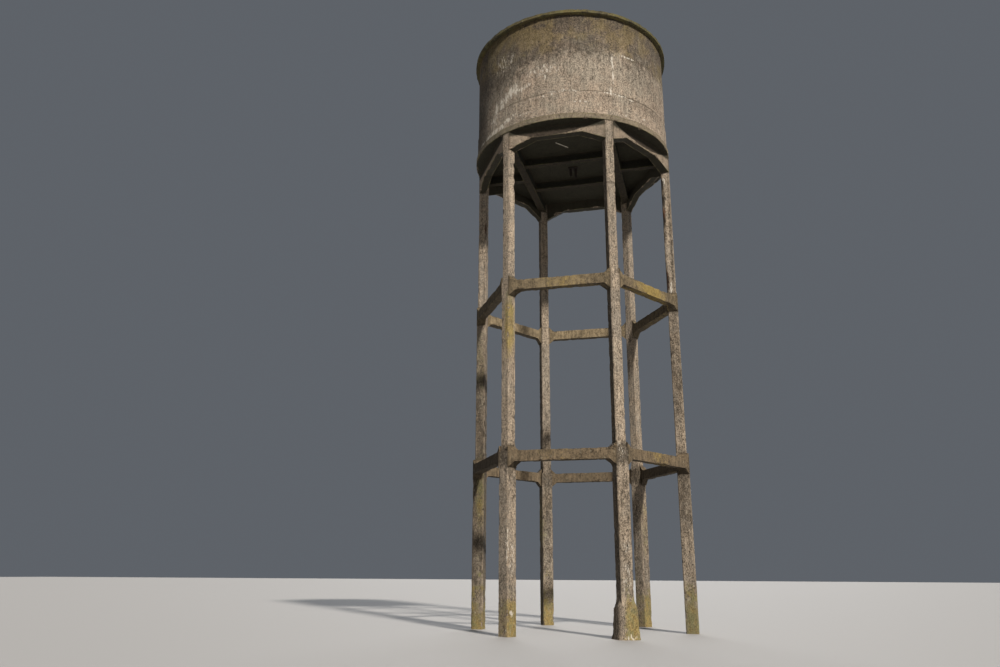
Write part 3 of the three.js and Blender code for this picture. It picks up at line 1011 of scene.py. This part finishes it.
def wall_segment(index):
    """Places, faces and masks of the wall from one column to the next, a little past both."""
    proud, outer, inner, pour = wall_sizes()
    seed = SEEDS["wall"]
    section = split_evenly(
        [(inner, WALL_FOOT), (proud, WALL_FOOT), (proud, pour), (outer, pour),
         (outer, WALL_TOP), (inner, WALL_TOP), (inner, WALL_FOOT)],
        [WALL_EDGE_GRID, WALL_GRID, WALL_GRID, WALL_GRID, WALL_EDGE_GRID, WALL_INSIDE_GRID])
    lap = WALL_LAP / outer
    angles = np.linspace(index * STEP - lap, (index + 1) * STEP + lap, WALL_COLUMNS + 1)
    rows, columns = len(section), len(angles)
    radius, height = np.tile(section[:, 0], columns), np.tile(section[:, 1], columns)
    angle = np.repeat(angles, rows)
    on_drum = np.stack([outer * np.cos(angle), outer * np.sin(angle), height], 1)
    round_drum = on_drum * (1, 1, 0)

    # The edge of the first lift and the joint above it wander and are ragged
    step_gap = np.abs(height - pour)
    height = height + POUR_WANDER[0] * field(round_drum, POUR_WANDER[1], seed) * close(step_gap, 0.5)
    joint = LIFT_JOINT + JOINT_WANDER[0] * field(round_drum, JOINT_WANDER[1], seed + 4)
    joint_gap = np.abs(height - joint)
    ragged = rise(field(on_drum, RAGGED[1], seed + 3), 0.0, 0.5)
    depth = WALL_WAVE[0] * lumps(on_drum, WALL_WAVE[1], seed + 1)
    depth += WALL_ROUGH[0] * lumps(on_drum, WALL_ROUGH[1], seed + 2, 2)
    depth += RAGGED[0] * ragged * (radius > proud - WELD) * close(step_gap, 0.09)
    depth += JOINT_DEPTH * close(joint_gap, 0.04) * (0.4 + 0.6 * ragged)
    radius = radius - np.where(radius > outer - WELD, np.clip(depth, 0, None), 0)

    # The top and the foot are bedded into the roof and the floor
    height = np.where(height > WALL_TOP - WELD, WALL_TOP + BED, height)
    height = np.where(height < WALL_FOOT + WELD, WALL_FOOT - BED, height)
    places = np.stack([radius * np.cos(angle), radius * np.sin(angle), height], 1)
    # Darkening under the roof and over the floor is dirt and painted shade in these corners.
    near_roof = rise(height, WALL_TOP - 0.14, WALL_TOP)
    near_floor = rise(-height, -WALL_FOOT - 0.08, -WALL_FOOT)
    masks = {
        "corner": np.maximum(near_roof, near_floor),
        "broken": rise(ragged * close(step_gap, 0.07), 0.5, 1.0) * 0.6,
        "joint": np.maximum(1.2 * close(step_gap, 0.06), 0.7 * close(joint_gap, 0.05)),
    }
    marks = [
        (kind, strength, round_axis(radians(degrees), outer, z), (wide, wide, high))
        for kind, of_kind in WALL_MARKS.items() for strength, degrees, z, wide, high in of_kind
    ]
    return places, band_faces(rows, columns), marked(masks, places, marks)


# Rusty iron

def rough_bar(start, end, seed):
    """Places and faces of a rough round bar."""
    along = np.array(end) - start
    length = np.linalg.norm(along)
    lean = Vector(along).to_track_quat("Z", "Y").to_matrix()
    rings = max(4, round(length / BAR_STEP))
    places = start + np.array([
        lean @ Vector(round_axis(2 * pi * k / BAR_SIDES, BAR_RADIUS, length * i / rings))
        for i in range(rings + 1) for k in range(BAR_SIDES)
    ])
    axis = np.repeat(np.array(start) + along * np.linspace(0, 1, rings + 1)[:, None], BAR_SIDES, 0)
    swelling = 1 + BAR_ROUGH[0] * field(places, BAR_ROUGH[1], seed)
    places = axis + (places - axis) * swelling[:, None]
    return places, [face[:1] + face[:0:-1] for face in band_faces(BAR_SIDES, rings + 1)]


def rusty_iron():
    f = Finish("rusty_iron")
    broad, flake, fine = f.cloud(0.05, 4, 0.6), f.cloud(0.012, 5, 0.7), f.cloud(0.003, 3, 0.7)
    brownness = f.band(f.sum_of(0.5, (broad, 0.8), (flake, 1.0)), 0.3, 0.75)
    colour = f.mixed(IRON_DARK, IRON_BROWN, brownness)
    colour = f.mixed(colour, IRON_RUST, f.times(f.band(flake, 0.56, 0.7), 0.4))
    colour = f.toned(colour, f.sum_of(1.0, (fine, 0.5)))
    height = f.sum_of(0.0, (flake, 0.002), (fine, 0.0006))
    return f.finished(colour, f.sum_of(0.82, (flake, 0.2)), height, 0.15)


def add_bars(column, turn):
    """The corner bars that deep breaks lay bare."""
    for n, (out, side, z, high, deep) in enumerate(COLUMN_BREAKS.get(column, [])):
        if deep >= BARRED_DEPTH:
            x, y, _ = on_column(out, side, z)
            x += BAR_COVER if out < 0.5 else -BAR_COVER
            y -= BAR_COVER * side
            places, faces = rough_bar((x, y, z - high), (x, y, z + high), SEEDS["bar"] + n)
            name = f"bare_bar_{column}_{n + 1}"
            add_piece(name, spun(places, turn), faces, {}, iron)


# The whole tower

LOOKS = {
    "column": Look(srgb(150, 135, 117), srgb(129, 119, 106), grain=5.4, mottle=1.0, washing=1.4, crust=0.6,
                   lichen=0.75, green=0.5, stretch=2.2, cracks=0.7, pale=0.3, grit=0.03),
    "tie": Look(srgb(112, 97, 77), srgb(90, 79, 63), grain=3.4, mottle=1.3, washing=1.4, crust=0.45,
                lichen=0.7, green=0.15, cracks=0.4, pale=0.2),
    "high_tie": Look(srgb(138, 122, 96), srgb(114, 101, 80), grain=3.4, mottle=1.3, washing=1.4, crust=0.4,
                     lichen=0.7, green=0.1, cracks=0.4, pale=0.2),
    "tank_beam": Look(srgb(148, 132, 114), srgb(128, 116, 101), grain=2.4, mottle=0.8, washing=0.6,
                      crust=0.4, lichen=0.6, green=0.9, cracks=0.4),
    # The floor beams' near-black colours are painted shade under the tank.
    "floor": Look(srgb(33, 32, 24), srgb(27, 27, 20), grain=2.0, mottle=1.0, washing=0.2, crust=0.6,
                  lichen=0.4, green=0.8, stretch=1),
    "slab": Look(srgb(128, 115, 97), srgb(112, 104, 88), grain=2.8, mottle=1.2, washing=0.4, crust=0.6,
                 lichen=0.6, green=0.8),
    "wall": Look(srgb(154, 138, 121), srgb(138, 128, 114), grain=5.0, mottle=0.8, washing=1.2, crust=0.5,
                 lichen=0.25, green=0.2, stretch=1.7, soak=0.11, grit=0.032),
    "roof": Look(srgb(84, 77, 58), srgb(72, 69, 53), grain=3.0, mottle=1.6, washing=0.3, crust=0.7,
                 lichen=0.5, green=0.6, stretch=1, pale=0.25),
}
FORMULAS = {
    "column": dict(damped=column_damp, lichened=foot_lichen),
    "tie": dict(damped=low_tie_damp, lichened=tie_lichen),
    "high_tie": dict(damped=high_tie_damp, lichened=tie_lichen),
    "tank_beam": dict(lichened=arris_lichen, shade_filmed=sheltered_in_shade),
    "floor": dict(boards=boards_across, damped=underside_damp_and_shade, lichened=arris_lichen),
    "slab": dict(boards=boards_across, lichened=arris_lichen, limed=soffit_streak, shade_filmed=sheltered_in_shade),
    "wall": dict(boards=boards_round, damped=wall_damp, lichened=wall_lichen),
    "roof": dict(lichened=roof_lichen),
}
iron = rusty_iron()
finishes = {kind: concrete(f"{kind}_concrete", LOOKS[kind], **FORMULAS[kind]) for kind in LOOKS}


def add_cast(node, cast, turn, seed, kind, breaks, marks=()):
    """A worn copy of a cast piece in place of its node. Breaks and marks are given along +X too."""
    places, masks = worn(cast, turn, seed, WEARS[kind], breaks)
    turned = [(mark, much, spun(np.array([centre]), turn)[0], radii) for mark, much, centre, radii in marks]
    marked(masks, spun(cast.places, turn), turned)
    add_piece(f"cast_{node}", places, cast.faces, masks, finishes[kind], [node])


# Rough collar round one foot. Lumps are given by share and width.
COLLAR_CORNER = 11
COLLAR_WORN_CORNER = 3
COLLAR_LUMPS = (0.2, 0.24)
COLLAR_SMALL_LUMPS = (0.12, 0.07)
COLLAR_SHORT = 0.275
COLLAR_SHORT_LUMPS = 0.03
COLLAR_SHOULDER = (0.5, 0.9)
COLLAR_SAG = 0.16


def rough_collar(cast):
    """Rounds the collar off and gives it lumps, an uneven shoulder and one side without a foot."""
    z = cast.places[:, 2].copy()
    middle = np.array([COLUMN_MIDDLE, 0])
    across = cast.places[:, :2] - middle
    reach = np.abs(across).max(1)
    collar = reach > COLUMN_HALF + WELD
    large = lumps(cast.places, COLLAR_LUMPS[1], SEEDS["collar"])
    small = lumps(cast.places, COLLAR_SMALL_LUMPS[1], SEEDS["collar"] + 1, 2)
    worn_corner = (across[:, 0] > 0) & (across[:, 1] < 0)
    softness = np.where(worn_corner, COLLAR_WORN_CORNER, COLLAR_CORNER)
    rounded = reach / np.maximum((np.abs(across) ** softness[:, None]).sum(1) ** (1 / softness), WELD)
    share = 1 - COLLAR_LUMPS[0] * large - COLLAR_SMALL_LUMPS[0] * small
    wanted = np.maximum(COLUMN_HALF, COLUMN_HALF + (reach * rounded - COLUMN_HALF) * share)
    across *= np.where(collar, wanted / np.maximum(reach, WELD), 1)[:, None]
    across[:, 1] = np.minimum(across[:, 1], COLLAR_SHORT - COLLAR_SHORT_LUMPS * small)
    cast.places[:, :2] = across + middle
    cast.places[:, 2] -= np.where(collar, COLLAR_SAG * large * rise(z, *COLLAR_SHOULDER), 0)


def add_columns():
    plain = cast_of("column_right", 0, COLUMN_GRID)
    for i, name in enumerate(COLUMNS):
        node, turn, seed = f"column_{name}", i * STEP, SEEDS["column"] + i
        cast = plain
        if name == COLLARED:
            cast = cast_of(node, turn, COLLAR_GRID)
            rough_collar(cast)
        breaks = [
            (on_column(out, side, z), (BREAK_REACH, BREAK_REACH, high), deep)
            for out, side, z, high, deep in COLUMN_BREAKS.get(name, [])
        ]
        marks = [
            (kind, strength, on_column(out, side, z), (wide, wide, high))
            for kind, strength, out, side, z, wide, high in COLUMN_MARKS.get(name, [])
        ]
        breaks += scattered_breaks(cast, seed, count=16, longest=0.12)
        add_cast(node, cast, turn, seed, "column", breaks, marks)
        add_bars(name, turn)


def add_ring(prefix, kind, count):
    """Six beams, each halfway between two columns, with a count of small breaks in each."""
    cast = cast_of(f"{prefix}_{SIDES[0]}", STEP / 2, BEAM_GRID)
    for i, name in enumerate(SIDES):
        turn, seed = STEP / 2 + i * STEP, SEEDS[prefix] + i
        breaks = scattered_breaks(cast, seed, count, longest=0.2)
        add_cast(f"{prefix}_{name}", cast, turn, seed, kind, breaks)


def add_floor_beams():
    names = [f"{kind}_{side}" for kind in ("floor_beam", "stub_beam") for side in ("right", "left")]
    names += ["cross_beam_front", "cross_beam_back"]
    for seed, node in enumerate(names, SEEDS["floor_beam"]):
        cast = cast_of(node, 0, FLOOR_BEAM_GRID)
        breaks = scattered_breaks(cast, seed, count=6, longest=0.15)
        add_cast(node, cast, 0, seed, "floor", breaks)


def add_slab():
    cast = Cast(disc(SLAB_RADIUS, SOFFIT, SLAB_TOP), "tank_floor", 0, DISC_GRID)
    breaks = scattered_breaks(cast, SEEDS["slab"], count=40, longest=0.1)
    add_cast("tank_floor", cast, 0, SEEDS["slab"], "slab", breaks)


def add_roof():
    """The roof as a flat slab whose top is then drawn up into the frame's shallow cone."""
    corners = [v.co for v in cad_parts["tank_roof"].data.vertices]
    low, crown = min(p.z for p in corners), max(p.z for p in corners)
    edge = max(p.z for p in corners if hypot(p.x, p.y) > ROOF_RADIUS - ON_CUT)
    cast = Cast(disc(ROOF_RADIUS, low, edge), "tank_roof", 0, DISC_GRID)
    top = cast.places[:, 2] > edge - WELD
    far = np.hypot(cast.places[:, 0], cast.places[:, 1]) / ROOF_RADIUS
    cast.places[top, 2] += ((crown - edge) * (1 - far))[top]
    breaks = scattered_breaks(cast, SEEDS["roof"], count=60, longest=0.1)
    add_cast("tank_roof", cast, 0, SEEDS["roof"], "roof", breaks)


def add_walls():
    for i, name in enumerate(SIDES):
        places, faces, masks = wall_segment(i)
        node = f"tank_wall_{name}"
        add_piece(f"cast_{node}", places, faces, masks, finishes["wall"], [node])


def finish_pipes():
    """The pipe ends and their flange keep their own shape."""
    for node in ("pipe_flange", "pipe_end_long", "pipe_end_short"):
        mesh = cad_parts[node].data
        for k in range(len(mesh.materials)):
            mesh.materials[k] = iron


add_camera()
add_light()
add_floor()
add_columns()
add_ring("tie_low", "tie", count=10)
add_ring("tie_high", "high_tie", count=10)
add_ring("tank_beam", "tank_beam", count=8)
add_floor_beams()
add_slab()
add_walls()
add_roof()
finish_pipes()
